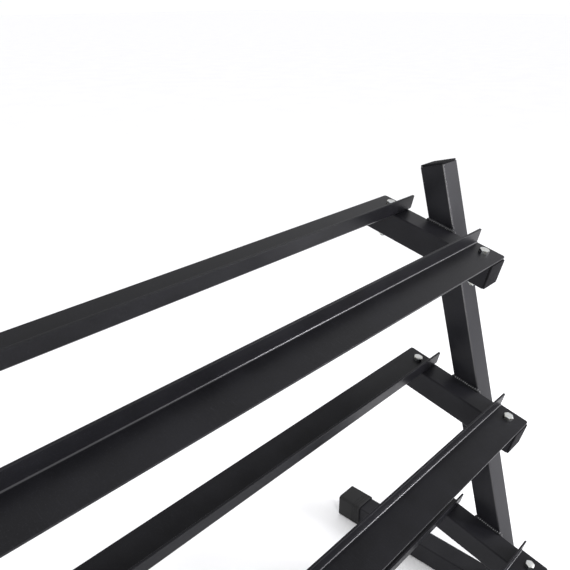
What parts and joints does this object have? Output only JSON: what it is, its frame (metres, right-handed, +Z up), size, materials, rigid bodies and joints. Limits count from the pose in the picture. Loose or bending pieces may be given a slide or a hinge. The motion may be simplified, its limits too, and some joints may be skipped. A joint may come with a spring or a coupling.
{
  "type": "dumbbell rack",
  "caption": "Free-standing raked dumbbell rack: leaning box-section end frames carry tiers of paired angle rails, bolted through sloping arms, with plastic end caps and rubber feet.",
  "frame": {"origin": "on the floor, at the middle of the rack's length and depth", "axes": "+X along the rails to the user's right, +Y from the front to the back, +Z up"},
  "size_m": [1.0872, 0.4666, 0.7638],
  "materials": {
    "frame_coat": "satin black powder coat on welded box section",
    "rail_coat": "satin black powder coat on folded steel",
    "plastic_cap": "black moulded polyethylene, satin",
    "rubber_boot": "black moulded rubber, matt",
    "zinc_fastener": "bright zinc-plated steel"
  },
  "bodies": {
    "root": {"arm_bottom_left": "frame_coat", "arm_bottom_right": "frame_coat", "arm_cap_front_bottom_left": "plastic_cap", "arm_cap_front_bottom_right": "plastic_cap", "arm_cap_front_middle_left": "plastic_cap", "arm_cap_front_middle_right": "plastic_cap", "arm_cap_front_top_left": "plastic_cap", "arm_cap_front_top_right": "plastic_cap", "arm_cap_rear_bottom_left": "plastic_cap", "arm_cap_rear_bottom_right": "plastic_cap", "arm_cap_rear_middle_left": "plastic_cap", "arm_cap_rear_middle_right": "plastic_cap", "arm_cap_rear_top_left": "plastic_cap", "arm_cap_rear_top_right": "plastic_cap", "arm_middle_left": "frame_coat", "arm_middle_right": "frame_coat", "arm_top_left": "frame_coat", "arm_top_right": "frame_coat", "foot_boot_front_left": "rubber_boot", "foot_boot_front_right": "rubber_boot", "foot_boot_rear_left": "rubber_boot", "foot_boot_rear_right": "rubber_boot", "foot_left": "frame_coat", "foot_right": "frame_coat", "rail_bolt_bottom_front_left": "zinc_fastener", "rail_bolt_bottom_front_right": "zinc_fastener", "rail_bolt_bottom_rear_left": "zinc_fastener", "rail_bolt_bottom_rear_right": "zinc_fastener", "rail_bolt_middle_front_left": "zinc_fastener", "rail_bolt_middle_front_right": "zinc_fastener", "rail_bolt_middle_rear_left": "zinc_fastener", "rail_bolt_middle_rear_right": "zinc_fastener", "rail_bolt_top_front_left": "zinc_fastener", "rail_bolt_top_front_right": "zinc_fastener", "rail_bolt_top_rear_left": "zinc_fastener", "rail_bolt_top_rear_right": "zinc_fastener", "rail_bottom_front": "rail_coat", "rail_bottom_rear": "rail_coat", "rail_middle_front": "rail_coat", "rail_middle_rear": "rail_coat", "rail_nut_bottom_front_left": "zinc_fastener", "rail_nut_bottom_front_right": "zinc_fastener", "rail_nut_bottom_rear_left": "zinc_fastener", "rail_nut_bottom_rear_right": "zinc_fastener", "rail_nut_middle_front_left": "zinc_fastener", "rail_nut_middle_front_right": "zinc_fastener", "rail_nut_middle_rear_left": "zinc_fastener", "rail_nut_middle_rear_right": "zinc_fastener", "rail_nut_top_front_left": "zinc_fastener", "rail_nut_top_front_right": "zinc_fastener", "rail_nut_top_rear_left": "zinc_fastener", "rail_nut_top_rear_right": "zinc_fastener", "rail_top_front": "rail_coat", "rail_top_rear": "rail_coat", "upright_cap_left": "plastic_cap", "upright_cap_right": "plastic_cap", "upright_left": "frame_coat", "upright_right": "frame_coat"}
  },
  "joints": []
}
